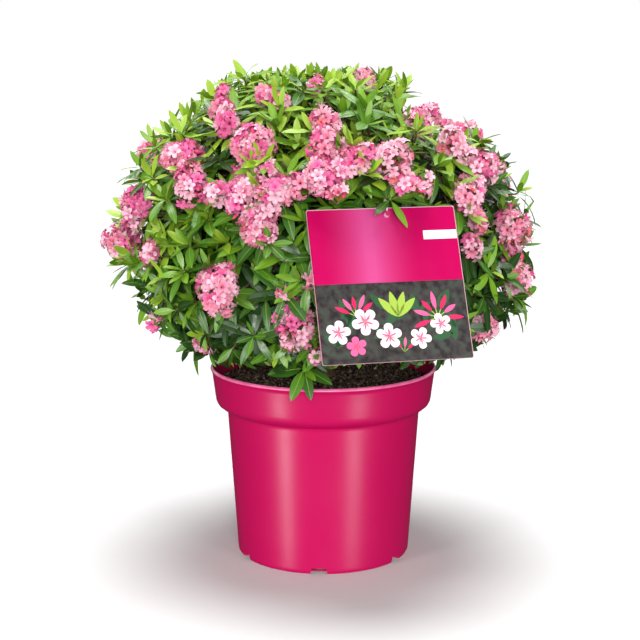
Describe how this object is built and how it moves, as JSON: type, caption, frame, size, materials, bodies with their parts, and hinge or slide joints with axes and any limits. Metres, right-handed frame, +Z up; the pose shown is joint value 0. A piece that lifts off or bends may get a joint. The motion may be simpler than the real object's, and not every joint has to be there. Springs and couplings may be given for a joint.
{
  "type": "potted rhododendron",
  "caption": "Compact flowering rhododendron with a dense rounded crown of leaf rosettes and pink flower heads, in a round tapered nursery pot of peat, with a square hanging care label.",
  "frame": {"origin": "centre of the pot's flat underside", "axes": "+Z up through the plant, front with the care label towards -Y"},
  "size_m": [0.4281, 0.4667, 0.496],
  "materials": {
    "pot_pink": "semi-gloss",
    "peat": "rough",
    "bark": "rough",
    "foliage": "satin",
    "label_pink": "gloss",
    "loop_clear": "semi-gloss"
  },
  "bodies": {
    "root": {"pot": "pot_pink", "peat": "peat", "trunk": "bark", "bough_top": "bark", "bough_upper_1": "bark", "bough_upper_2": "bark", "bough_upper_3": "bark", "bough_upper_4": "bark", "bough_upper_5": "bark", "bough_lower_1": "bark", "bough_lower_2": "bark", "bough_lower_3": "bark", "bough_lower_4": "bark", "bough_lower_5": "bark", "bough_lower_6": "bark", "foliage_top": "foliage", "foliage_upper_1": "foliage", "foliage_upper_2": "foliage", "foliage_upper_3": "foliage", "foliage_upper_4": "foliage", "foliage_upper_5": "foliage", "foliage_lower_1": "foliage", "foliage_lower_2": "foliage", "foliage_lower_3": "foliage", "foliage_lower_4": "foliage", "foliage_lower_5": "foliage", "foliage_lower_6": "foliage", "label": "label_pink", "label_loop": "loop_clear"}
  },
  "joints": []
}
